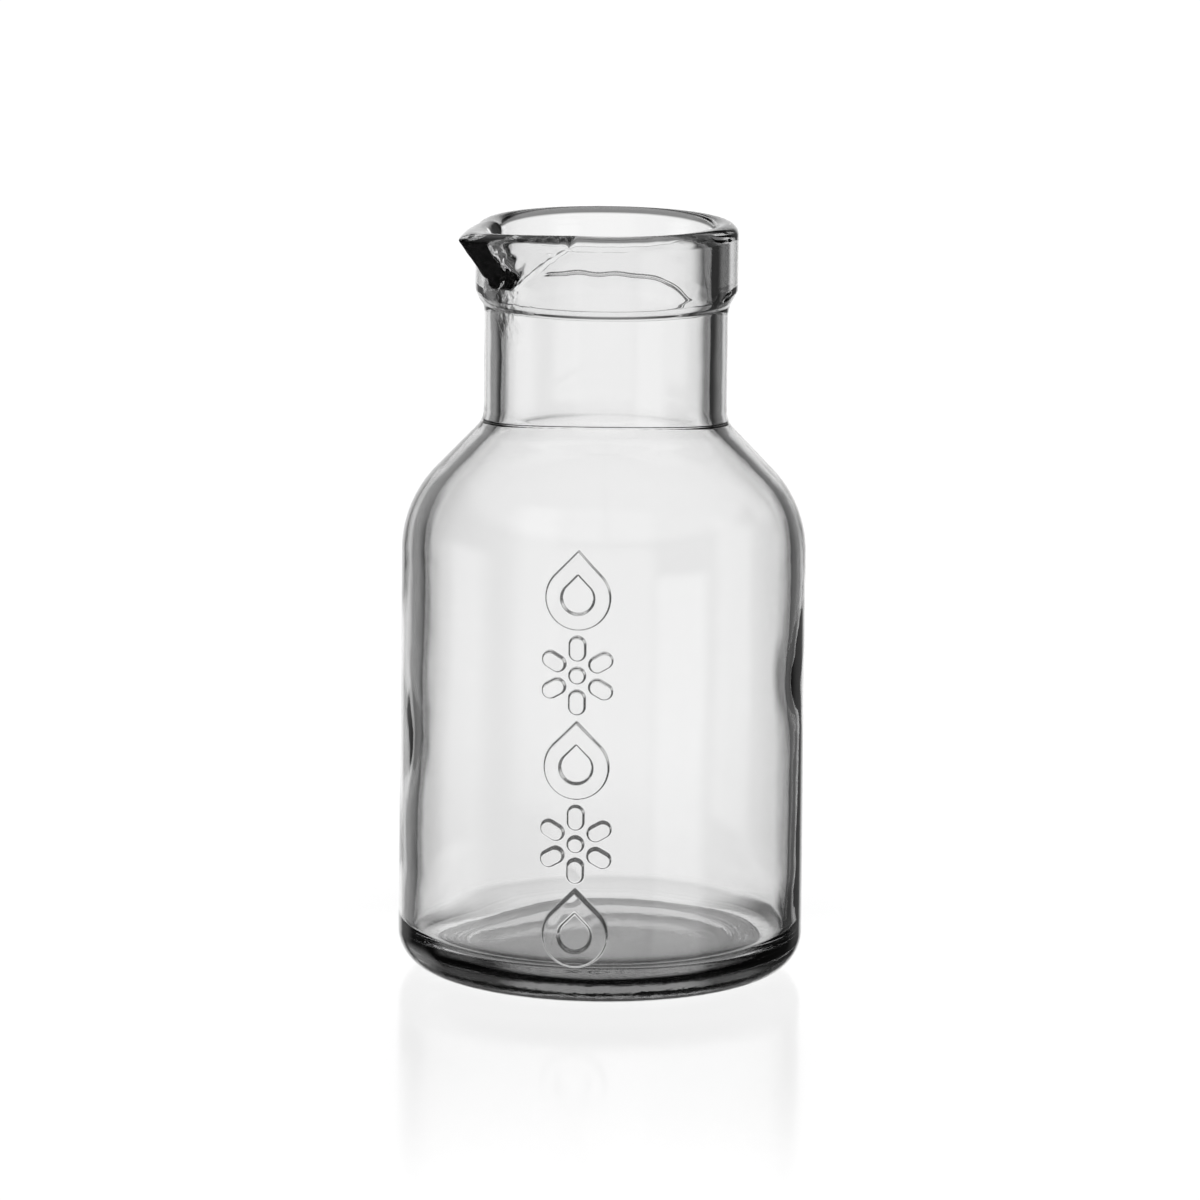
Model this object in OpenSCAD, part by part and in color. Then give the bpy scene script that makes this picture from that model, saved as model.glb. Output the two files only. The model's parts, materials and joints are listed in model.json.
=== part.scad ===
// Small glass milk bottle with a wide neck, a banded collar, a pinched pouring spout
// and a column of raised ornaments on its front.
//
// The bottle is one piece of moulded glass. It is drawn as the regions of its mould,
// which meet face to face: base and heel, body wall, shoulder, neck, collar, rim and spout.
// Origin: centre of the base on the surface it stands on. +Z up, front towards -Y.
// Lengths are in millimetres.

/* [Body] */
// Height of the bottle from the table to the top of the rim
height = 130; // [126:1:140]
// Outer diameter of the body just above the heel
body_d = 70; // [68:1:74]
// Outer diameter of the body where the shoulder starts
body_top_d = 69.6; // [68:0.1:70]
// Thickness of the glass in the body and the shoulder
wall = 2.9; // [2.4:0.1:3.4]

/* [Base] */
// Radius of the rounded heel
heel_r = 6.5; // [5:0.5:8]
// Height of the inner floor above the table
floor_z = 6.1; // [5:0.1:7]
// Radius of the hollow corner between the floor and the inner wall
inner_heel_r = 2.5; // [2:0.5:6]
// Diameter of the hollow under the base
push_up_d = 46; // [40:1:50]
// Height of the hollow under the base at its centre
push_up_h = 2; // [1:0.25:3]

/* [Shoulder] */
// Height at which the shoulder starts to turn in
shoulder_z = 73; // [70:1:75]
// Radius of the shoulder's outer curve
shoulder_r = 20; // [17:1:21]
// Angle that the shoulder turns through before it runs straight
shoulder_turn = 44; // [42:1:46]
// Radius of the hollow curve between the shoulder and the neck
neck_fillet_r = 4.8; // [3:0.2:6]

/* [Neck and collar] */
// Outer diameter of the neck
neck_d = 41.8; // [41:0.2:43]
// Diameter of the bore through the neck and the mouth
bore_d = 36; // [34:0.5:37]
// Outer diameter of the collar band
collar_d = 45; // [44:0.5:47]
// Height of the collar's lower edge
collar_z = 116; // [114:1:118]
// Width of the rounded lower edge of the collar
collar_edge_w = 1.4; // [1:0.1:1.5]
// Height of the rounded lower edge of the collar
collar_edge_h = 2.6; // [1:0.1:3]
// Height of the joint between the collar and the rim
rim_z = 126; // [124:1:127]
// Radius of the rim's rounded edges
rim_r = 2; // [1:0.1:2.2]

/* [Spout] */
// Direction of the spout, counter-clockwise from +X
spout_azimuth = 218; // [0:0.5:359]
// Distance of the spout's tip from the bottle's axis
spout_reach = 32; // [29:0.5:33]
// Height at which the spout's keel leaves the collar
spout_root_z = 118.5; // [118:0.5:121]
// Thickness of the glass in the spout
spout_wall = 2.2; // [1.8:0.1:2.6]

/* [Ornaments] */
// Direction that the ornament column faces, counter-clockwise from +X
ornament_azimuth = 263; // [0:1:359]
// Height of the lowest ornament's centre
ornament_z = 14; // [14:0.5:15]
// Distance from one ornament's centre to the next
ornament_pitch = 14.5; // [14:0.25:14.5]
// How far the ornaments stand out from the glass
relief = 0.7; // [0.4:0.1:1]
// Width of the raised strokes
stroke = 3; // [2.4:0.1:3.4]

/* [Hidden] */

$fn = 96;
hull_fn = 24;
clear = 1;
glass = [0.86, 0.88, 0.88, 0.45];

body_r = body_d / 2;
body_top_r = body_top_d / 2;
neck_r = neck_d / 2;
bore_r = bore_d / 2;
collar_r = collar_d / 2;
push_up_r = push_up_d / 2;

// The base node is the disc inside this radius, and the heel is the ring around it
base_r = body_r - heel_r;
// The heel ends where both its outer and its inner curve have ended
heel_top = max(heel_r, floor_z + inner_heel_r);

// Sphere whose cap is the hollow under the base
push_up_sphere_r = (pow(push_up_r, 2) + pow(push_up_h, 2)) / (2 * push_up_h);

// Centre of the shoulder's curve, and the unit normal of the straight cone above it
shoulder_x = body_top_r - shoulder_r;
cone_n = [cos(shoulder_turn), sin(shoulder_turn)];
// Lower and upper end of the straight cone
cone_low = [shoulder_x, shoulder_z] + shoulder_r * cone_n;
cone_high_r = neck_r + neck_fillet_r * (1 - cone_n[0]);
cone_high = [cone_high_r, cone_low[1] + (cone_low[0] - cone_high_r) * cone_n[0] / cone_n[1]];
// The neck starts where the hollow curve above the cone ends
neck_z = cone_high[1] + neck_fillet_r * cone_n[1];
// Inner cone, one wall inside the outer one, and the height at which it would meet the bore
inner_low = cone_low - wall * cone_n;
inner_corner_z = inner_low[1] + (inner_low[0] - bore_r) * cone_n[0] / cone_n[1];
// The inner cone really turns into the bore along a curve around the outer curve's centre
turn_centre = [neck_r + neck_fillet_r, neck_z];
inner_turn_r = neck_fillet_r + neck_r - bore_r;

// The spout's sides run straight from the tip and touch the collar at this angle to each side
spout_spread = acos(collar_r / spout_reach);
// How far the channel moves in, for each millimetre that it moves up
channel_shift = 0.85;

// Ornament sizes: each fits a square of about one pitch
drop_r = 5.6;
drop_tip = 8;
drop_steps = 24;
petals = 6;
petal_start = 3.9;
petal_reach = 5.3;
flower_eye_r = 1.5;

// Half profile of the bottle's outside up to the neck, grown outwards by the given amount
module outer_half(grow = 0) {
    square([body_r - heel_r, heel_r]);
    translate([body_r - heel_r, heel_r])
        circle(heel_r + grow);
    polygon([[0, heel_r], [body_r + grow, heel_r], [body_top_r + grow, shoulder_z], [0, shoulder_z]]);
    intersection() {
        translate([shoulder_x, shoulder_z])
            circle(shoulder_r + grow);
        translate([shoulder_x, shoulder_z])
            square(shoulder_r + grow);
    }
    cone_a = cone_low + grow * cone_n;
    cone_b = cone_high + grow * cone_n;
    polygon([[0, shoulder_z], [shoulder_x, shoulder_z], cone_a, cone_b, [0, cone_b[1]]]);
}

// Half profile of the hollow curve that joins the shoulder to the neck
module fillet_half() {
    difference() {
        translate([0, cone_high[1]])
            square([cone_high_r, neck_z - cone_high[1]]);
        translate(turn_centre)
            circle(neck_fillet_r);
    }
}

// Half profile of the glass that the curve between the inner cone and the bore leaves out
module inner_turn_half() {
    difference() {
        polygon([turn_centre - inner_turn_r * cone_n, [bore_r, inner_corner_z], [bore_r, neck_z]]);
        translate(turn_centre)
            circle(inner_turn_r);
    }
}

// Half profile of the space inside the bottle
module inner_half() {
    inner_r = body_r - wall;
    inner_top_r = body_top_r - wall;
    translate([0, floor_z])
        square([inner_r - inner_heel_r, inner_heel_r]);
    translate([inner_r - inner_heel_r, floor_z + inner_heel_r])
        circle(inner_heel_r);
    polygon([[0, floor_z + inner_heel_r], [inner_r, floor_z + inner_heel_r],
             [inner_top_r, shoulder_z], [0, shoulder_z]]);
    intersection() {
        translate([shoulder_x, shoulder_z])
            circle(shoulder_r - wall);
        translate([shoulder_x, shoulder_z])
            square(shoulder_r - wall);
    }
    polygon([[0, shoulder_z], [shoulder_x, shoulder_z], inner_low,
             [bore_r, inner_corner_z], [0, inner_corner_z]]);
    inner_turn_half();
    translate([0, shoulder_z])
        square([bore_r, height + clear - shoulder_z]);
}

// Glass between two heights, turned from the half profiles
module glass_band(z_low, z_high) {
    rotate_extrude()
        intersection() {
            difference() {
                union() {
                    outer_half();
                    fillet_half();
                }
                inner_half();
            }
            translate([0, z_low])
                square([body_r + clear, z_high - z_low]);
        }
}

// Disc at the middle of the bottom, hollowed underneath
module base() {
    color(glass)
        difference() {
            cylinder(r = base_r, h = floor_z);
            translate([0, 0, push_up_h - push_up_sphere_r])
                sphere(push_up_sphere_r);
        }
}

// Thick rounded ring around the base
module heel() {
    color(glass)
        difference() {
            glass_band(0, heel_top);
            translate([0, 0, -clear])
                cylinder(r = base_r, h = heel_top + 2 * clear);
        }
}

module body_wall() {
    color(glass)
        glass_band(heel_top, shoulder_z);
}

module shoulder() {
    color(glass)
        glass_band(shoulder_z, neck_z);
}

module neck() {
    color(glass)
        rotate_extrude()
            translate([bore_r, neck_z])
                square([neck_r - bore_r, collar_z - neck_z]);
}

// Band that stands out around the top of the neck, open where the spout's channel runs
module collar() {
    color(glass)
        difference() {
            rotate_extrude() {
                translate([bore_r, collar_z])
                    square([collar_r - collar_edge_w - bore_r, rim_z - collar_z]);
                translate([bore_r, collar_z + collar_edge_h])
                    square([collar_r - bore_r, rim_z - collar_z - collar_edge_h]);
                translate([collar_r - collar_edge_w, collar_z + collar_edge_h])
                    scale([1, collar_edge_h / collar_edge_w])
                        circle(collar_edge_w);
            }
            spout_channel();
        }
}

// Rounded drinking edge, open where the spout's channel runs
module rim() {
    color(glass)
        difference() {
            rotate_extrude() {
                translate([bore_r, rim_z])
                    square([collar_r - bore_r, height - rim_r - rim_z]);
                translate([bore_r + rim_r, rim_z])
                    square([collar_r - bore_r - 2 * rim_r, height - rim_z]);
                for (edge_r = [bore_r + rim_r, collar_r - rim_r])
                    translate([edge_r, height - rim_r])
                        circle(rim_r);
            }
            spout_channel();
        }
}

// Solid wedge with two corners on the rim, one at the spout's tip and two along the foot of the keel
module spout_wedge() {
    corner_r = spout_wall / 2;
    rotate(spout_azimuth)
        hull() {
            for (side = [-1, 1])
                rotate(side * spout_spread)
                    translate([collar_r - spout_wall, 0, height - corner_r])
                        sphere(corner_r, $fn = hull_fn);
            translate([spout_reach - corner_r, 0, height - corner_r])
                sphere(corner_r, $fn = hull_fn);
            for (root_reach = [bore_r - spout_wall, collar_r])
                translate([root_reach, 0, spout_root_z])
                    sphere(corner_r, $fn = hull_fn);
        }
}

// Space that the milk runs through: the wedge again, moved in and up by the thickness of the glass
module spout_channel() {
    rotate(spout_azimuth)
        translate([-spout_wall * channel_shift, 0, spout_wall])
            rotate(-spout_azimuth)
                spout_wedge();
}

// Beak pinched out of the collar: its keel rises from near the collar's lower edge to the tip
module pour_spout() {
    color(glass)
        difference() {
            spout_wedge();
            translate([0, 0, collar_z])
                cylinder(r = collar_r, h = height);
            spout_channel();
        }
}

// Presses a flat drawing onto the front of the glass as a raised shape
module raised(level) {
    intersection() {
        rotate(ornament_azimuth + 90)
            translate([0, 0, ornament_z + level * ornament_pitch])
                rotate([90, 0, 0])
                    linear_extrude(body_r + 2 * relief)
                        children();
        difference() {
            rotate_extrude()
                outer_half(relief);
            rotate_extrude()
                outer_half();
        }
    }
}

// Filled drop with its point upwards: an arc closed by the two tangents from the tip
module drop_shape(round_r, tip) {
    lean = asin(round_r / tip);
    polygon(concat([[0, tip]],
                   [for (step = [0 : drop_steps])
                       let (turn = 180 - lean + step * (180 + 2 * lean) / drop_steps)
                       round_r * [cos(turn), sin(turn)]]));
}

// Outline of a drop
module drop_outline() {
    inner = 1 - stroke / drop_r;
    translate([0, (drop_r - drop_tip) / 2])
        difference() {
            drop_shape(drop_r, drop_tip);
            drop_shape(drop_r * inner, drop_tip * inner);
        }
}

// Flower of separate rounded petals around an eye
module flower_shape() {
    circle(flower_eye_r);
    for (petal = [0 : petals - 1])
        rotate(90 + petal * 360 / petals) {
            for (end = [petal_start, petal_reach])
                translate([end, 0])
                    circle(stroke / 2);
            translate([petal_start, -stroke / 2])
                square([petal_reach - petal_start, stroke]);
        }
}

module raised_drop(level) {
    color(glass)
        raised(level)
            drop_outline();
}

module raised_flower(level) {
    color(glass)
        raised(level)
            flower_shape();
}

base();
heel();
body_wall();
shoulder();
neck();
collar();
rim();
pour_spout();
raised_drop(0);  // raised_drop_bottom
raised_flower(1);  // raised_flower_lower
raised_drop(2);  // raised_drop_middle
raised_flower(3);  // raised_flower_upper
raised_drop(4);  // raised_drop_top
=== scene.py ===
import json
import math

import bpy
import numpy as np
from mathutils import Matrix, Vector


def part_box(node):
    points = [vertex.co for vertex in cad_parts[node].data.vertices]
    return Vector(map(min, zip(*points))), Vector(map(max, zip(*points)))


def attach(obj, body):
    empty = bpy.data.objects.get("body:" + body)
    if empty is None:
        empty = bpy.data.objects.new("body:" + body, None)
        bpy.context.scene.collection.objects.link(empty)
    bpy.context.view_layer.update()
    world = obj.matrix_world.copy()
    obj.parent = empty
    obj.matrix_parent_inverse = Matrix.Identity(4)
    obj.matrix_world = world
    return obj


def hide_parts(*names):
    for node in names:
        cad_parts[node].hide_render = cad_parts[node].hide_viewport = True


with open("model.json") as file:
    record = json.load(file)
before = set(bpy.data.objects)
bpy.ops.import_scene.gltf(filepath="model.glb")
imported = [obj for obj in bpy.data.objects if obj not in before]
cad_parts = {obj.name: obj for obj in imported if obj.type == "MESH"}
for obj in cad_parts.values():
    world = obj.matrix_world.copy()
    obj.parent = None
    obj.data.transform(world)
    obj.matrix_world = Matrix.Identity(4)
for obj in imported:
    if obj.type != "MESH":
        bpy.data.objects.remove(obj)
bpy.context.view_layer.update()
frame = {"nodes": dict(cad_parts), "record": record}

MM = 0.001
QUARTER = math.pi / 2.0
X, Y, Z = 0, 1, 2


# ---------------------------------------------------------------- sizes, in millimetres

def upper(node, axis):
    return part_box(node)[1][axis] / MM


def lower(node, axis):
    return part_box(node)[0][axis] / MM


def mount_size(name, key):
    found = [m for m in frame["record"]["mounts"] if m["name"] == name]
    return found[0]["dims"][key]


HEIGHT = upper("rim", Z)
BODY_R = upper("heel", X)
SHOULDER_BODY_R = upper("shoulder", X)
SHOULDER_Z = lower("shoulder", Z)
NECK_Z = lower("neck", Z)
NECK_R = upper("neck", X)
COLLAR_Z = lower("collar", Z)
COLLAR_R = upper("collar", X)
FLOOR_Z = upper("base", Z)
BORE_R = mount_size("neck_bore", "r_mm")
NECK_TOP = np.array([NECK_R, COLLAR_Z])

# Shoulder: an arc, a straight cone and a hollow fillet into the neck
SHOULDER_ARC_R = 20.0
SHOULDER_TURN = math.radians(44.0)
NECK_FILLET_R = 4.8
BORE_CORNER_R = 7.7
BORE_CORNER_Z = NECK_Z + 2.0
LOW_TURN = 0.7

# Base and heel, with the push-up and the turned grooves of the ring that the bottle stands on
HEEL_R = 6.5
INNER_HEEL_R = 2.5
PUSH_UP_R = 23.0
PUSH_UP_H = 2.0
PUSH_UP_STEP = 0.6
PUSH_UP_WAVE = 0.07
GROOVES = 4
GROOVE_H = 0.12
GROOVE_WAVES = 0.5
GROOVES_END = 0.8
FLOOR_WAVES = 0.12
FLOOR_FLAT_R = 12.0
FLOOR_WAVES_TOP = FLOOR_Z + 2.0

# The body's wall: thinner to the right than to the left, wavy, and thicker at the swells,
# which are given as azimuth, height, depth, half width in degrees and half height
BODY_WALL = 2.85
WALL_SHIFT = 0.5
WALL_WAVES = 0.2
WALL_EVEN_H = 12.0
WALL_EVEN_Z = SHOULDER_Z + 6.0
SWELLS = (
    (0.0, 54.0, 0.25, 22.0, 8.0),
    (-2.0, 51.0, 0.3, 14.0, 4.5),
    (4.0, 28.0, 0.35, 14.0, 24.0),
    (0.0, 76.0, 0.2, 40.0, 12.0),
    (183.0, 40.0, 0.38, 14.0, 8.0),
    (150.0, 70.0, 0.3, 25.0, 10.0),
)
OUTSIDE_WAVES = 0.02
OUTSIDE_EVEN_Z = 14.0

# Crease inside the foot of the neck, at the front
CREASE_Z = 94.4
CREASE_RISE = 2.7
CREASE_H = 0.3
CREASE_WIDTH = 0.2
CREASE_END = (0.1, -0.1)

# Underside of the collar, as steps from the neck's top: crisp in front, sloping behind
COLLAR_GAP = 2.0
COLLAR_EDGE_TOP = 120.0
FRONT_EDGE = ((0.0, -2.0), (0.0, -0.2), (1.1, 0.75), (1.45, 1.5), (1.6, 2.6), (1.6, 4.0))
BACK_EDGE = ((0.0, -2.0), (0.08, -1.2), (0.4, -0.2), (0.95, 1.1), (1.6, 2.3), (1.6, 4.0))
FRONT_ROUNDS = 12
BACK_ROUNDS = 3
# Sine of the azimuth where the front's edge ends and where the back's edge is whole
BEHIND = (-0.5, 0.2)

# Seam of the mould, a low ridge round the back of the collar
SEAM_WAVE = 0.4
SEAM_H = 0.6
SEAM_WIDTH = 0.22
SEAM_FALL = 2.9
SEAM_END = (math.radians(64.0), math.radians(33.0))
SEAM_LOW = (math.radians(28.0), math.radians(35.0))
SEAM_HIGH = (math.radians(128.0), math.radians(116.0))

# Rounded rim, flatter at the spout, and the faint groove inside it.
# ROUND is the pull that bends a cubic curve into a quarter of an ellipse.
RIM_CAP = 2.1
SPOUT_CAP = 1.3
CAP_CHANGE = (math.radians(55.0), math.radians(10.0))
ROUND = 1.657
SLOPE_STEP = 0.1
RIM_GROOVE_Z = 127.4
RIM_GROOVE = 0.05
RIM_GROOVE_WIDTH = 0.2
RIM_GROOVE_WAVE = 0.08

# Spout: a beak whose two flat sides touch the collar as tangents
SPOUT_AZIMUTH = math.radians(218.0)
SPOUT_REACH = 33.2
SPOUT_ROOT_Z = 117.2
SPOUT_CREASE = 0.2
SPOUT_BULGE = 0.6
SPOUT_CRUMPLE = 0.15
ROOT_CRUMPLE = 0.3
ROOT_REACH = (6.0, 1.0)
CRUMPLE_TOP = (HEIGHT - 1.0, HEIGHT - 4.0)
SPOUT_FOLD = 0.25
FOLD_WIDTH = 0.3
FOLD_TOP = (HEIGHT - 1.0, HEIGHT - 3.0)
RIDGE_ROUND = 0.02
GROOVE_ROUND = 0.15

# Inside of the spout, behind its outside and lower at the root
CHANNEL_BACK = 3.0
CHANNEL_ROOT_Z = 116.6
CHANNEL_LOW_Z = 115.5

# Raised ornaments, in a column from the heel to the shoulder
ORNAMENT_AZIMUTH = math.radians(263.0)
ORNAMENT_Z = 14.0
ORNAMENT_PITCH = 14.5
DROP_LEVELS = (0, 2, 4)
FLOWER_LEVELS = (1, 3)
RELIEF = 0.8
RELIEF_WAVES = 0.07
BEVEL = 0.42
STROKE = 3.0
DROP_R = 5.6
DROP_TIP = 8.0
PETALS = 6
PETAL_START = 3.9
PETAL_REACH = 5.3
EYE_R = 1.5

# Random waves of each part: seed, most waves round the axis, and shortest length along it
WAVE_KINDS = {
    "outside": (3, 5, 40.0),
    "wall": (5, 4, 60.0),
    "floor": (7, 3, 30.0),
    "grooves": (9, 12, 3.0),
    "seam": (11, 22, 1.0),
    "ornaments": (13, 50, 7.0),
    "spout": (17, 90, 2.0),
    "push_up": (19, 36, 1.0),
    "rim_groove": (21, 30, 1.0),
}
WAVE_TERMS = 7
WAVE_SUM = 3.0

# Spacing of the mesh
ARC_STEPS = 48
BLEND_STEPS = 24
ROW_FINE = 0.16
ROW_MIDDLE = 0.5
ROW_INSIDE = 0.8
ROW_COARSE = 1.0
COLLAR_EDGE_ROWS = 64
COLLAR_ROWS = 44
MOUTH_ROWS = 110
CAP_ROWS = 9
COLUMN_COARSE = math.radians(1.6)
COLUMN_STEPS = (
    (SPOUT_AZIMUTH, math.radians(50.0), math.radians(0.9)),
    (SPOUT_AZIMUTH, math.radians(7.0), math.radians(0.35)),
    (ORNAMENT_AZIMUTH, math.radians(14.0), math.radians(0.25)),
)

# Glass, with ripples, grain and haze drawn by noise. The grain ends between two heights above the
# floor, and between two distances from the spout's root.
GLASS_IOR = 1.5
GLASS_DENSITY = 22.0
RIPPLE_SCALE = 90.0
RIPPLE_DETAIL = 2.0
RIPPLE_STRENGTH = 0.15
RIPPLE_H = 0.3
GRAIN_SCALE = 600.0
GRAIN_DETAIL = 3.0
GRAIN_H = 0.1
GRAIN_UNDER = (2.5, 5.0)
GRAIN_ROOT = (4.0, 9.0)
HAZE_SCALE = 25.0
HAZE_MOST = 0.012

# Camera: its place in metres, its turns in radians, its lens in millimetres
CAMERA_AT = Vector((0.0, -1.2834, 0.2981))
CAMERA_PITCH = 0.1803
CAMERA_YAW = -0.00045
CAMERA_ROLL = 0.0108
CAMERA_LENS = 226.9
CAMERA_SENSOR = 36.0
CAMERA_CLIP = 0.01

# Floor. Each pair says where a change starts and ends: a distance from the middle, or for the painted glow's
# turn an angle from straight behind. The floor is partly painted light: it glows behind the bottle and holds
# a painted shadow under the base.
FLOOR_R = 300.0
FLOOR_CORNERS = 96
FLOOR_DROP = 0.2
FLOOR_ROUGHNESS = 0.14
FLOOR_GLOSS = 0.21
FLOOR_NEAR_GLOSS = 0.82
FLOOR_NEAR = (42.0, 62.0)
FLOOR_FADE = (2.0 * BODY_R, 200.0)
# Painted shadow: within these radii, under the base, the floor's emission is dimmed to the strength given
# three lines down.
PAINTED_SHADOW_R = (27.5, 29.5)
# Painted light: within these radii and this turn from straight behind, the floor glows, standing in for the
# lit table behind the bottle.
PAINTED_GLOW_REACH = (50.0, 75.0)
PAINTED_GLOW_TURN = (math.radians(25.0), math.radians(55.0))
# Strength of the floor's emission in the painted shadow under the base.
PAINTED_SHADOW_LIGHT = 0.04

# Light panels of the studio, in degrees: azimuth, half width, lowest and highest elevation, and strength.
# The first lights the glass for the camera. The next three do so only for views from 45,25; 90,3 and
# 225,15. No panel stands behind the bottle in most other views, so the glass looks darker from there.
PANELS = (
    (-2.0, 20.5, -28.0, 20.0, 1.0),
    (-45.0, 16.0, -34.0, -18.0, 1.0),
    (-90.0, 16.0, -15.0, 9.0, 1.0),
    (135.0, 16.0, -27.0, -3.0, 1.0),
    (-29.0, 12.0, -16.0, 20.0, 0.25),
    (27.0, 12.0, -16.0, 20.0, 0.12),
    (180.0, 30.0, -25.0, 25.0, 0.4),
    (0.0, 30.0, -65.0, -24.0, 0.22),
    (0.0, 180.0, 32.0, 95.0, 0.6),
)
PANEL_SOFT = 6.0

# Light of a full panel, of the gaps between the panels and of the low part that stands for the table
PANEL_LIGHT = 1.06
ROOM_LIGHT = 0.03
TABLE_LIGHT = 0.04
TABLE_EDGE = (math.radians(-40.0), math.radians(-22.0))


# ---------------------------------------------------------------- small helpers

def smooth_max(a, b, width):
    """Larger of a and b, rounded over the width where they cross."""
    h = np.clip(0.5 + 0.5 * (a - b) / width, 0.0, 1.0)
    return b + (a - b) * h + width * h * (1.0 - h)


def smooth_step(low, high, x):
    """0 at low and 1 at high, eased at both ends; low may be the larger one."""
    t = np.clip((x - low) / (high - low), 0.0, 1.0)
    return t * t * (3.0 - 2.0 * t)


def turned(angle, about):
    """Angle measured from a direction, between -pi and pi."""
    return (angle - about + math.pi) % (2.0 * math.pi) - math.pi


def arc(centre, radius, start, end, steps=ARC_STEPS):
    """Points on an arc in the (r, z) plane."""
    a = np.linspace(start, end, steps)
    return np.column_stack([centre[0] + radius * np.cos(a), centre[1] + radius * np.sin(a)])


def line_length(points):
    """Length along a line of (r, z) points, up to each of them."""
    steps = np.hypot(*np.diff(points, axis=0).T)
    return np.concatenate([[0.0], np.cumsum(steps)])


def spaced_to(points, count):
    """The given number of even points along a line of (r, z) points."""
    points = np.asarray(points, float)
    along = line_length(points)
    even = np.linspace(0.0, along[-1], count)
    return np.column_stack([np.interp(even, along, points[:, i]) for i in (0, 1)])


def spaced(points, spacing):
    """Even points along a line of (r, z) points, no more than the spacing apart."""
    whole = line_length(np.asarray(points, float))[-1]
    return spaced_to(points, max(2, int(math.ceil(whole / spacing)) + 1))


def rows_of(line, azimuth):
    """The same (r, z) points repeated over every column."""
    r = np.repeat(line[:, 0][:, None], len(azimuth), axis=1)
    z = np.repeat(line[:, 1][:, None], len(azimuth), axis=1)
    return r, z


def waves(kind, azimuth, z):
    """Sum of random waves round and along the axis, about -1 to 1."""
    seed, turns, length = WAVE_KINDS[kind]
    rng = np.random.default_rng(seed)
    total = np.zeros(np.broadcast(azimuth, z).shape)
    for _ in range(WAVE_TERMS):
        m = rng.integers(0, turns + 1)
        k = rng.uniform(-1.0, 1.0) * 2.0 * math.pi / length
        total += rng.uniform(0.5, 1.0) * np.cos(m * azimuth + k * z + rng.uniform(0.0, 2.0 * math.pi))
    return total / WAVE_SUM


# ---------------------------------------------------------------- profile of the glass

SHOULDER_CENTRE = np.array([SHOULDER_BODY_R - SHOULDER_ARC_R, SHOULDER_Z])
CONE_NORMAL = np.array([math.cos(SHOULDER_TURN), math.sin(SHOULDER_TURN)])


def under_line():
    """Hollow under the base, from its middle down the small step at its edge."""
    rise = PUSH_UP_H - PUSH_UP_STEP
    sphere_r = (PUSH_UP_R ** 2 + rise ** 2) / (2.0 * rise)
    edge = math.acos(PUSH_UP_R / sphere_r)
    hollow = arc((0.0, PUSH_UP_H - sphere_r), sphere_r, QUARTER, edge)
    step = [[PUSH_UP_R + PUSH_UP_STEP, 0.0]]
    return np.vstack([spaced(hollow, ROW_COARSE), spaced(np.vstack([hollow[-1:], step]), ROW_FINE)[1:]])


def under_rows(azimuth):
    """Hollow under the base, with a slightly wavy edge."""
    r, z = rows_of(under_line()[1:], azimuth)
    wavy = PUSH_UP_WAVE * waves("push_up", azimuth, 0.0)[None, :]
    return r + wavy * np.exp(-((r - PUSH_UP_R) / PUSH_UP_STEP) ** 2 / 4.0), z


def bearing_rows(azimuth):
    """Ring that the bottle stands on, with the fine turned grooves of the mould's bottom plate."""
    start = PUSH_UP_R + PUSH_UP_STEP
    r, z = rows_of(spaced([[start, 0.0], [BODY_R - HEEL_R, 0.0]], ROW_FINE)[1:], azimuth)
    share = (r - start) / (BODY_R - HEEL_R - start)
    groove = 0.5 - 0.5 * np.cos(2.0 * math.pi * GROOVES * share)
    uneven = 1.0 + GROOVE_WAVES * waves("grooves", azimuth[None, :], r)
    return r, z + GROOVE_H * groove * uneven * smooth_step(1.0, GROOVES_END, share)


def body_line():
    """Outside of the heel, the body and the lower part of the shoulder."""
    heel = arc((BODY_R - HEEL_R, HEEL_R), HEEL_R, -QUARTER, 0.0)
    turn = arc(SHOULDER_CENTRE, SHOULDER_ARC_R, 0.0, SHOULDER_TURN * LOW_TURN)
    return np.vstack([heel, turn])


def neck_line():
    """Outside of the upper shoulder and the neck, up to the collar's underside."""
    turn = arc(SHOULDER_CENTRE, SHOULDER_ARC_R, SHOULDER_TURN * LOW_TURN, SHOULDER_TURN)
    fillet_centre = (NECK_R + NECK_FILLET_R, NECK_Z)
    fillet = arc(fillet_centre, NECK_FILLET_R, math.pi + SHOULDER_TURN, math.pi)
    return np.vstack([turn, fillet, [[NECK_R, COLLAR_Z - COLLAR_GAP]]])


def softened(points, rounds):
    """The line with its corners rounded a little more in each round."""
    for _ in range(rounds):
        points[1:-1] = (points[:-2] + 2.0 * points[1:-1] + points[2:]) / 4.0
    return points


def collar_edge_rows(azimuth):
    """The collar's underside: a crisp edge in front, a slope behind, and the mould's wavy seam above it."""
    front, back = [
        rows_of(softened(spaced_to(NECK_TOP + np.array(edge), COLLAR_EDGE_ROWS), rounds), azimuth)
        for edge, rounds in ((FRONT_EDGE, FRONT_ROUNDS), (BACK_EDGE, BACK_ROUNDS))
    ]
    behind = smooth_step(*BEHIND, np.sin(azimuth))[None, :]
    share = np.linspace(0.0, 1.0, COLLAR_EDGE_ROWS)[:, None]
    wavy = SEAM_WAVE * waves("seam", azimuth, 0.0)[None, :]
    r = front[0] + (back[0] - front[0]) * behind
    z = front[1] + (back[1] + wavy * np.sin(math.pi * share) ** 2 - front[1]) * behind
    fall = SEAM_FALL * smooth_step(*SEAM_END, azimuth)[None, :]
    seam = NECK_TOP[1] + BACK_EDGE[-2][1] + wavy - fall
    ridge = SEAM_H * (smooth_step(*SEAM_LOW, azimuth) * smooth_step(*SEAM_HIGH, azimuth))[None, :]
    r = r + ridge * np.exp(-((z - seam) / SEAM_WIDTH) ** 2)
    return r[1:], z[1:]


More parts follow.
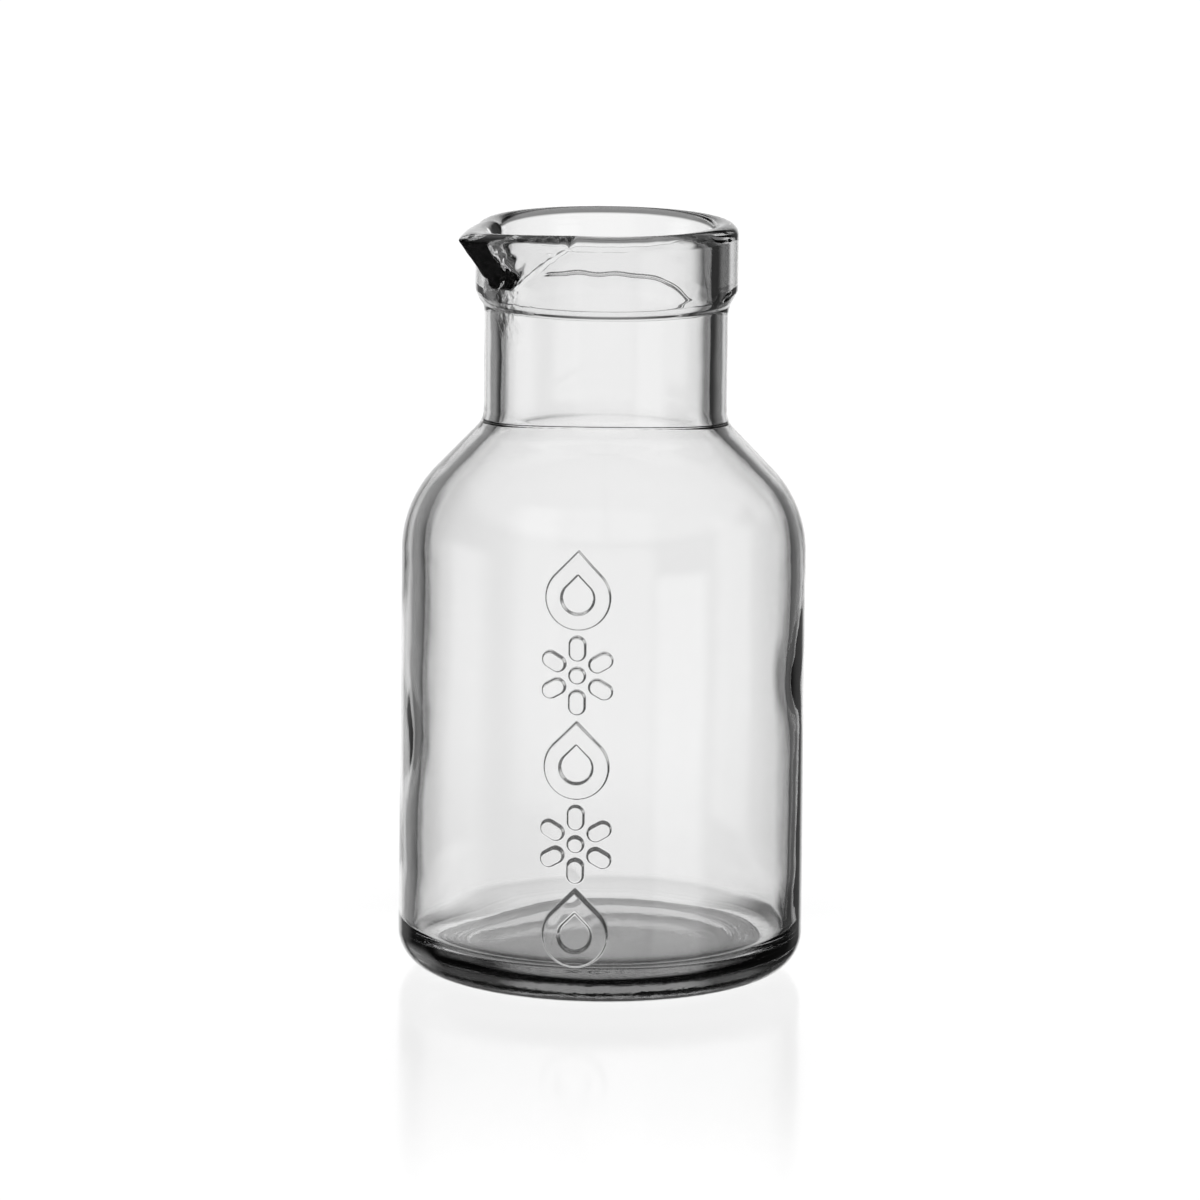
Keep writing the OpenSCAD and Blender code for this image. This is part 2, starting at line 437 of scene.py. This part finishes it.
def inside_line():
    """Inside of the neck, the shoulder and the body, and the floor up to its centre, as four lines."""
    arc_r = SHOULDER_ARC_R - BODY_WALL
    low = SHOULDER_CENTRE + arc_r * CONE_NORMAL
    corner_z = low[1] + (low[0] - BORE_R) * CONE_NORMAL[0] / CONE_NORMAL[1]
    centre = (BORE_R + BORE_CORNER_R, corner_z + BORE_CORNER_R * math.tan(SHOULDER_TURN / 2.0))
    blend = arc(centre, BORE_CORNER_R, math.pi, math.pi + SHOULDER_TURN, BLEND_STEPS)
    turn = arc(SHOULDER_CENTRE, arc_r, SHOULDER_TURN, 0.0)
    wall_r = BODY_R - BODY_WALL
    heel_centre = (wall_r - INNER_HEEL_R, FLOOR_Z + INNER_HEEL_R)
    heel = arc(heel_centre, INNER_HEEL_R, 0.0, -QUARTER)
    return [
        spaced([[BORE_R, CHANNEL_LOW_Z], [BORE_R, BORE_CORNER_Z]], ROW_MIDDLE),
        spaced(np.vstack([[[BORE_R, BORE_CORNER_Z]], blend]), ROW_FINE),
        spaced(np.vstack([blend[-1:], turn, heel]), ROW_INSIDE),
        spaced(np.vstack([heel[-1:], [[0.0, FLOOR_Z]]]), ROW_COARSE),
    ]


# ---------------------------------------------------------------- raised ornaments

def drop_distance(u, v):
    """Distance from the edge of a drop's stroke, below zero inside the glass."""
    lean = math.acos(math.sqrt(1.0 - (DROP_R / DROP_TIP) ** 2))
    side = np.abs(u)
    height = v - (DROP_R - DROP_TIP) / 2.0
    round_part = np.hypot(side, height) - DROP_R
    flat_part = side * math.cos(lean) + height * math.sin(lean) - DROP_R
    on_flat = np.arctan2(height, side) > lean
    outline = np.where(on_flat, flat_part, round_part)
    return np.abs(outline + STROKE / 2.0) - STROKE / 2.0


def flower_distance(u, v):
    """Distance from the edge of the petals or the eye, below zero inside the glass."""
    nearest = np.hypot(u, v) - EYE_R
    for petal in range(PETALS):
        turn = QUARTER + petal * 2.0 * math.pi / PETALS
        along = u * math.cos(turn) + v * math.sin(turn)
        across = v * math.cos(turn) - u * math.sin(turn)
        beyond = along - np.clip(along, PETAL_START, PETAL_REACH)
        nearest = np.minimum(nearest, np.hypot(beyond, across) - STROKE / 2.0)
    return nearest


def relief(azimuth, z):
    """Height of the raised ornaments above the wall."""
    u = turned(azimuth, ORNAMENT_AZIMUTH) * BODY_R
    nearest = np.full(np.broadcast(u, z).shape, STROKE)
    for shape, levels in ((drop_distance, DROP_LEVELS), (flower_distance, FLOWER_LEVELS)):
        for level in levels:
            centre = ORNAMENT_Z + level * ORNAMENT_PITCH
            nearest = np.minimum(nearest, shape(u, z - centre))
    rise = np.clip(-nearest / BEVEL, 0.0, 1.0)
    uneven = 1.0 + RELIEF_WAVES * waves("ornaments", azimuth, z)
    return RELIEF * uneven * np.sin(rise * QUARTER)


# ---------------------------------------------------------------- spout

def beak(azimuth, z, circle_r, reach, root_z):
    """Radius of a beak of two planes that touch the circle at the rim and meet at the tip."""
    spread = math.acos(circle_r / reach)
    tip = np.array([reach, 0.0, HEIGHT])
    touch = np.array([circle_r * math.cos(spread), circle_r * math.sin(spread), HEIGHT])
    root = np.array([circle_r, 0.0, root_z])
    normal = np.cross(tip - touch, root - touch)
    normal *= math.copysign(1.0, normal[0]) / np.linalg.norm(normal)
    phi = np.abs(turned(azimuth, SPOUT_AZIMUTH))
    held = np.minimum(phi, spread)
    ridge = GROOVE_ROUND if circle_r < COLLAR_R else RIDGE_ROUND
    across = np.sqrt(np.sin(held) ** 2 + ridge ** 2)
    radius = (normal @ root - normal[2] * z) / (normal[0] * np.cos(held) + normal[1] * across)
    radius = radius + SPOUT_BULGE * np.sin(math.pi * held / spread)
    above_root, at_root = ROOT_REACH
    crumple = SPOUT_CRUMPLE + ROOT_CRUMPLE * smooth_step(root_z + above_root, root_z + at_root, z)
    radius = radius + crumple * waves("spout", azimuth, z) * smooth_step(*CRUMPLE_TOP, z)
    return radius - circle_r * (phi - held)


def outer_radius(azimuth, z):
    """Outside of the collar, the rim and the spout, with a fine fold where the spout leaves the collar."""
    side = beak(azimuth, z, COLLAR_R, SPOUT_REACH, SPOUT_ROOT_Z)
    fold = SPOUT_FOLD * np.exp(-((side - COLLAR_R) / FOLD_WIDTH) ** 2)
    return smooth_max(side, COLLAR_R, SPOUT_CREASE) - fold * smooth_step(*FOLD_TOP, z)


def inner_radius(azimuth, z):
    """Inside of the mouth and the spout's channel, with the groove inside the rim."""
    side = beak(azimuth, z, BORE_R, SPOUT_REACH - CHANNEL_BACK, CHANNEL_ROOT_Z)
    level = RIM_GROOVE_Z + RIM_GROOVE_WAVE * waves("rim_groove", azimuth, 0.0)
    groove = RIM_GROOVE * np.exp(-((z - level) / RIM_GROOVE_WIDTH) ** 2)
    return smooth_max(side, BORE_R, SPOUT_CREASE) + groove


# ---------------------------------------------------------------- the glass as rows of points

def column_azimuths():
    """Azimuths of the mesh's columns, close together on the spout and the ornaments."""
    found = [0.0]
    while found[-1] < 2.0 * math.pi:
        step = COLUMN_COARSE
        for about, reach, finer in COLUMN_STEPS:
            if abs(turned(found[-1], about)) < reach:
                step = finer
        found.append(found[-1] + step)
    return np.array(found[:-1])


def normals(line):
    """Outward directions of a line of (r, z) points that goes up the outside."""
    along = np.gradient(line, axis=0)
    along /= np.hypot(along[:, 0], along[:, 1])[:, None]
    return np.column_stack([along[:, 1], -along[:, 0]])


def outside_rows(line, azimuth, raised):
    """Outer wall, hardly wavy, with the raised ornaments where they are asked for."""
    out = normals(line)
    r, z = rows_of(line, azimuth)
    lift = OUTSIDE_WAVES * waves("outside", azimuth[None, :], z) * smooth_step(HEEL_R, OUTSIDE_EVEN_Z, z)
    if raised:
        lift = lift + relief(azimuth[None, :], z)
    return r + lift * out[:, :1], z + lift * out[:, 1:]


def collar_rows(azimuth, radius_of, low, high, count):
    """Wall between a fixed height and a height that changes with the azimuth."""
    share = np.linspace(0.0, 1.0, count)[:, None]
    z = low + (high - low)[None, :] * share
    return radius_of(azimuth[None, :], z), z


def cap_rows(azimuth, cap):
    """Rounded top of the rim, from the outer wall over to the inner wall."""
    top = HEIGHT - cap
    outer = outer_radius(azimuth, top)
    inner = inner_radius(azimuth, top)
    middle = (outer + inner) / 2.0
    upwards = np.linspace(0.0, 1.0, CAP_ROWS)[1:]
    downwards = np.linspace(1.0, 0.0, CAP_ROWS)[1:]
    rows = []
    for edge, radius_of, shares in ((outer, outer_radius, upwards), (inner, inner_radius, downwards)):
        slope = (radius_of(azimuth, top) - radius_of(azimuth, top - SLOPE_STEP)) / SLOPE_STEP
        for s in shares:
            h_edge = 2.0 * s ** 3 - 3.0 * s ** 2 + 1.0
            h_rise = s ** 3 - 2.0 * s ** 2 + s
            h_top = 3.0 * s ** 2 - 2.0 * s ** 3
            h_flat = s ** 3 - s ** 2
            r = h_edge * edge + h_rise * slope * cap * ROUND + h_top * middle
            r = r + h_flat * (middle - edge) * ROUND
            z = h_edge * top + h_rise * cap * ROUND + h_top * HEIGHT
            rows.append((r, z))
    return np.array([r for r, z in rows]), np.array([z for r, z in rows])


def inside_rows(line, azimuth):
    """Inner wall, uneven below the shoulder and creased at the foot of the neck, and the wavy floor."""
    r, z = rows_of(line, azimuth)
    wall = smooth_step(FLOOR_Z, FLOOR_Z + WALL_EVEN_H, z) * smooth_step(NECK_Z, WALL_EVEN_Z, z)
    swell = WALL_SHIFT * np.cos(azimuth)[None, :] + WALL_WAVES * waves("wall", azimuth[None, :], z)
    for centre, level, depth, wide, tall in SWELLS:
        across = turned(azimuth, math.radians(centre))[None, :] / math.radians(wide)
        swell = swell - depth * np.exp(-across ** 2 - ((z - level) / tall) ** 2)
    dimple = FLOOR_WAVES * waves("floor", azimuth[None, :], r) * smooth_step(0.0, FLOOR_FLAT_R, r)
    crease_z = CREASE_Z - CREASE_RISE * np.sin(azimuth)[None, :]
    front = smooth_step(*CREASE_END, np.sin(azimuth))[None, :]
    crease = CREASE_H * front * np.exp(-((z - crease_z) / CREASE_WIDTH) ** 2)
    return r + swell * wall - crease, z + dimple * smooth_step(FLOOR_WAVES_TOP, FLOOR_Z, z)


def glass_rows():
    """All rows of the closed glass skin, from under the base, over the rim, to the floor inside."""
    azimuth = column_azimuths()
    near_spout = smooth_step(*CAP_CHANGE, np.abs(turned(azimuth, SPOUT_AZIMUTH)))
    cap = RIM_CAP + (SPOUT_CAP - RIM_CAP) * near_spout
    top = HEIGHT - cap
    body = spaced(body_line(), ROW_FINE)[1:]
    neck = spaced(neck_line(), ROW_MIDDLE)[1:]
    band_r, band_z = collar_rows(azimuth, outer_radius, COLLAR_EDGE_TOP, top, COLLAR_ROWS)
    mouth_r, mouth_z = collar_rows(azimuth, inner_radius, CHANNEL_LOW_Z, top, MOUTH_ROWS)
    parts = [
        under_rows(azimuth),
        bearing_rows(azimuth),
        outside_rows(body, azimuth, True),
        outside_rows(neck, azimuth, False),
        collar_edge_rows(azimuth),
        (band_r[1:], band_z[1:]),
        cap_rows(azimuth, cap),
        (mouth_r[::-1][1:], mouth_z[::-1][1:]),
    ]
    parts += [inside_rows(line[1:], azimuth) for line in inside_line()]
    radii = np.vstack([r for r, z in parts])[:-1]
    heights = np.vstack([z for r, z in parts])[:-1]
    return azimuth, radii, heights


def glass_mesh():
    """The rows joined into one closed mesh, with a pole under the base and one on the floor inside."""
    azimuth, radii, heights = glass_rows()
    count_rows, columns = radii.shape
    x = radii * np.cos(azimuth)[None, :]
    y = radii * np.sin(azimuth)[None, :]
    skin = np.stack([x, y, heights], axis=-1).reshape(-1, 3)
    poles = np.array([[0.0, 0.0, PUSH_UP_H], [0.0, 0.0, FLOOR_Z]])
    points = np.vstack([skin, poles]) * MM
    column = np.arange(columns)
    after = (column + 1) % columns
    faces = []
    for row in range(count_rows - 1):
        low = row * columns
        high = low + columns
        faces += np.column_stack([low + column, low + after, high + after, high + column]).tolist()
    last = (count_rows - 1) * columns
    under_pole = len(skin)
    floor_pole = under_pole + 1
    faces += [[under_pole, b, a] for a, b in zip(column.tolist(), after.tolist())]
    faces += [[floor_pole, last + a, last + b] for a, b in zip(column.tolist(), after.tolist())]
    mesh = bpy.data.meshes.new("bottle_glass")
    mesh.from_pydata(points.tolist(), [], faces)
    mesh.validate()
    mesh.shade_smooth()
    return mesh


# ---------------------------------------------------------------- shader nodes

def linked(nodes, links, kind, **inputs):
    """New node whose named inputs are given as values or as outputs of other nodes."""
    node = nodes.new(kind)
    for name, value in inputs.items():
        socket = node.inputs[name.replace("_", " ")]
        if isinstance(value, bpy.types.NodeSocket):
            links.new(value, socket)
        else:
            socket.default_value = value
    return node


def ramp(nodes, links, value, start, end):
    """1 where the value is below start, falling to 0 at end."""
    node = linked(nodes, links, "ShaderNodeMapRange",
                  Value=value, From_Min=start, From_Max=end, To_Min=1.0, To_Max=0.0)
    node.interpolation_type = "SMOOTHSTEP"
    return node.outputs["Result"]


def maths(nodes, links, operation, a, b=None, c=None):
    """Result of one operation on numbers or on outputs of other nodes."""
    node = nodes.new("ShaderNodeMath")
    node.operation = operation
    for socket, value in zip(node.inputs, (a, b, c)):
        if value is None:
            continue
        if isinstance(value, (int, float)):
            socket.default_value = value
        else:
            links.new(value, socket)
    return node.outputs["Value"]


def in_metres(distances):
    return [distance * MM for distance in distances]


# ---------------------------------------------------------------- materials

def new_material(name):
    material = bpy.data.materials.new(name)
    material.use_nodes = True
    nodes = material.node_tree.nodes
    return material, nodes, material.node_tree.links, nodes["Principled BSDF"]


def ripple_bump(nodes, links, place):
    """Faint ripples all over the glass."""
    noise = linked(nodes, links, "ShaderNodeTexNoise",
                   Vector=place, Scale=RIPPLE_SCALE, Detail=RIPPLE_DETAIL)
    return linked(nodes, links, "ShaderNodeBump",
                  Strength=RIPPLE_STRENGTH, Distance=RIPPLE_H * MM, Height=noise.outputs["Fac"])


def grain_bump(nodes, links, place, normal):
    """Rough skin where the hot glass touched cold iron: under the base and at the root of the spout."""
    noise = linked(nodes, links, "ShaderNodeTexNoise",
                   Vector=place, Scale=GRAIN_SCALE, Detail=GRAIN_DETAIL)
    split = linked(nodes, links, "ShaderNodeSeparateXYZ", Vector=place)
    under = ramp(nodes, links, split.outputs["Z"], *in_metres(GRAIN_UNDER))
    root = (COLLAR_R * math.cos(SPOUT_AZIMUTH), COLLAR_R * math.sin(SPOUT_AZIMUTH), SPOUT_ROOT_Z)
    from_root = nodes.new("ShaderNodeVectorMath")
    from_root.operation = "DISTANCE"
    links.new(place, from_root.inputs[0])
    from_root.inputs[1].default_value = in_metres(root)
    pinched = ramp(nodes, links, from_root.outputs["Value"], *in_metres(GRAIN_ROOT))
    rough = maths(nodes, links, "MAXIMUM", under, pinched)
    height = maths(nodes, links, "MULTIPLY", noise.outputs["Fac"], rough)
    return linked(nodes, links, "ShaderNodeBump", Distance=GRAIN_H * MM, Height=height, Normal=normal)


def haze_roughness(nodes, links, place):
    """Gloss that is a little duller in places."""
    noise = linked(nodes, links, "ShaderNodeTexNoise", Vector=place, Scale=HAZE_SCALE)
    spread = linked(nodes, links, "ShaderNodeMapRange",
                    Value=noise.outputs["Fac"], To_Min=0.0, To_Max=HAZE_MOST)
    return spread.outputs["Result"]


def glass_material():
    """Clear pressed glass with faint ripples and a trace of grey."""
    material, nodes, links, shader = new_material("clear_glass")
    shader.inputs["Base Color"].default_value = (1.0, 1.0, 1.0, 1.0)
    shader.inputs["Transmission Weight"].default_value = 1.0
    shader.inputs["IOR"].default_value = GLASS_IOR
    place = nodes.new("ShaderNodeTexCoord").outputs["Object"]
    ripple = ripple_bump(nodes, links, place)
    grain = grain_bump(nodes, links, place, ripple.outputs["Normal"])
    links.new(grain.outputs["Normal"], shader.inputs["Normal"])
    links.new(haze_roughness(nodes, links, place), shader.inputs["Roughness"])
    tint = nodes.new("ShaderNodeVolumeAbsorption")
    tint.inputs["Color"].default_value = (0.0, 0.0, 0.0, 1.0)
    tint.inputs["Density"].default_value = GLASS_DENSITY
    links.new(tint.outputs["Volume"], nodes["Material Output"].inputs["Volume"])
    return material


def painted_floor_light(nodes, links, place, distance):
    """Clear floor with painted light: an emission behind the bottle that stands in for the lit table, and a
    dim, closed emission under the base that is a painted shadow.
    """
    # Painted shadow: the emission is dim under the base and rises to full strength beyond it.
    under = ramp(nodes, links, distance, *in_metres(PAINTED_SHADOW_R))
    strength = maths(nodes, links, "MULTIPLY_ADD", under, PAINTED_SHADOW_LIGHT - 1.0, 1.0)
    painted_glow = linked(nodes, links, "ShaderNodeEmission", Strength=strength)
    # Painted light: the emission shows behind the bottle, standing in for the lit table there.
    split = linked(nodes, links, "ShaderNodeSeparateXYZ", Vector=place)
    turn = maths(nodes, links, "ARCTAN2", split.outputs["X"], split.outputs["Y"])
    behind = ramp(nodes, links, maths(nodes, links, "ABSOLUTE", turn), *PAINTED_GLOW_TURN)
    near = ramp(nodes, links, distance, *in_metres(PAINTED_GLOW_REACH))
    shown = maths(nodes, links, "MULTIPLY", near, maths(nodes, links, "MAXIMUM", behind, under))
    painted_light_mix = linked(nodes, links, "ShaderNodeMixShader", Fac=shown)
    links.new(nodes.new("ShaderNodeBsdfTransparent").outputs["BSDF"], painted_light_mix.inputs[1])
    links.new(painted_glow.outputs["Emission"], painted_light_mix.inputs[2])
    return painted_light_mix.outputs["Shader"]


def floor_material():
    """Pale table that mirrors the bottle faintly and fades out into the background, with painted light
    behind the bottle and a painted shadow under it.
    """
    material, nodes, links, shader = new_material("floor_with_painted_light")
    nodes.remove(shader)
    place = nodes.new("ShaderNodeTexCoord").outputs["Object"]
    length = nodes.new("ShaderNodeVectorMath")
    length.operation = "LENGTH"
    links.new(place, length.inputs[0])
    distance = length.outputs["Value"]
    gloss = linked(nodes, links, "ShaderNodeBsdfGlossy", Roughness=FLOOR_ROUGHNESS)
    fade = ramp(nodes, links, distance, *in_metres(FLOOR_FADE))
    close = ramp(nodes, links, distance, *in_metres(FLOOR_NEAR))
    dimmed = maths(nodes, links, "MULTIPLY_ADD", close, FLOOR_NEAR_GLOSS - 1.0, 1.0)
    mirrored = maths(nodes, links, "MULTIPLY", maths(nodes, links, "MULTIPLY", fade, dimmed), FLOOR_GLOSS)
    mix = linked(nodes, links, "ShaderNodeMixShader", Fac=mirrored)
    links.new(painted_floor_light(nodes, links, place, distance), mix.inputs[1])
    links.new(gloss.outputs["BSDF"], mix.inputs[2])
    links.new(mix.outputs["Shader"], nodes["Material Output"].inputs["Surface"])
    return material


# ---------------------------------------------------------------- stage

def add(name, data):
    obj = bpy.data.objects.new(name, data)
    bpy.context.scene.collection.objects.link(obj)
    return obj


def make_camera():
    """Camera in front of the bottle, a little above it, turned by its pitch, yaw and roll."""
    camera = bpy.data.cameras.new("camera")
    camera.sensor_width = CAMERA_SENSOR
    camera.lens = CAMERA_LENS
    camera.clip_start = CAMERA_CLIP
    obj = add("camera", camera)
    across = math.cos(CAMERA_PITCH)
    forward = Vector((math.sin(CAMERA_YAW) * across, math.cos(CAMERA_YAW) * across, -math.sin(CAMERA_PITCH)))
    level = forward.cross(Vector((0.0, 0.0, 1.0))).normalized()
    lift = level.cross(forward)
    right = math.cos(CAMERA_ROLL) * level + math.sin(CAMERA_ROLL) * lift
    up = right.cross(forward)
    turn = Matrix((right, up, -forward)).transposed()
    obj.matrix_world = Matrix.Translation(CAMERA_AT) @ turn.to_4x4()
    bpy.context.scene.camera = obj


def make_floor():
    """Round floor just under the bottle."""
    mesh = bpy.data.meshes.new("floor")
    turns = [2.0 * math.pi * corner / FLOOR_CORNERS for corner in range(FLOOR_CORNERS)]
    points = [(FLOOR_R * MM * math.cos(turn), FLOOR_R * MM * math.sin(turn), 0.0) for turn in turns]
    mesh.from_pydata(points, [], [list(range(FLOOR_CORNERS))])
    mesh.materials.append(floor_material())
    obj = add("floor", mesh)
    obj.location.z = -FLOOR_DROP * MM


def panel_light(nodes, links, azimuth, elevation, panel):
    """Strength of one panel in the direction given, with soft edges."""
    centre, wide, low, high, strength = panel
    across = maths(nodes, links, "SUBTRACT", azimuth, math.radians(centre))
    across = maths(nodes, links, "WRAP", across, math.pi, -math.pi)
    above = maths(nodes, links, "SUBTRACT", elevation, math.radians((low + high) / 2.0))
    inside = []
    for off_centre, half in ((across, wide), (above, (high - low) / 2.0)):
        off_centre = maths(nodes, links, "ABSOLUTE", off_centre)
        edge = (math.radians(half - PANEL_SOFT), math.radians(half + PANEL_SOFT))
        inside.append(ramp(nodes, links, off_centre, *edge))
    return maths(nodes, links, "MULTIPLY", maths(nodes, links, "MULTIPLY", *inside), strength)


def make_world():
    """Soft panels with dark gaps that draw the glass's edges, and plain white where seen directly."""
    world = bpy.data.worlds.new("studio")
    bpy.context.scene.world = world
    world.use_nodes = True
    nodes = world.node_tree.nodes
    links = world.node_tree.links
    background = nodes["Background"]
    background.inputs["Color"].default_value = (1.0, 1.0, 1.0, 1.0)
    place = nodes.new("ShaderNodeTexCoord")
    split = linked(nodes, links, "ShaderNodeSeparateXYZ", Vector=place.outputs["Generated"])
    azimuth = maths(nodes, links, "ARCTAN2", split.outputs["X"], split.outputs["Y"])
    elevation = maths(nodes, links, "ARCSINE", split.outputs["Z"])
    light = maths(nodes, links, "MULTIPLY", ramp(nodes, links, elevation, *TABLE_EDGE), TABLE_LIGHT)
    for panel in PANELS:
        light = maths(nodes, links, "MAXIMUM", light, panel_light(nodes, links, azimuth, elevation, panel))
    shown = maths(nodes, links, "MULTIPLY_ADD", light, PANEL_LIGHT - ROOM_LIGHT, ROOM_LIGHT)
    rays = nodes.new("ShaderNodeLightPath")
    shown = maths(nodes, links, "MAXIMUM", shown, rays.outputs["Is Camera Ray"])
    links.new(shown, background.inputs["Strength"])


# ---------------------------------------------------------------- scene

make_camera()
glass = add("bottle_glass", glass_mesh())
glass.data.materials.append(glass_material())
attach(glass, "root")
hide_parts(*frame["nodes"])
make_floor()
make_world()

bpy.context.scene.view_settings.view_transform = "Standard"
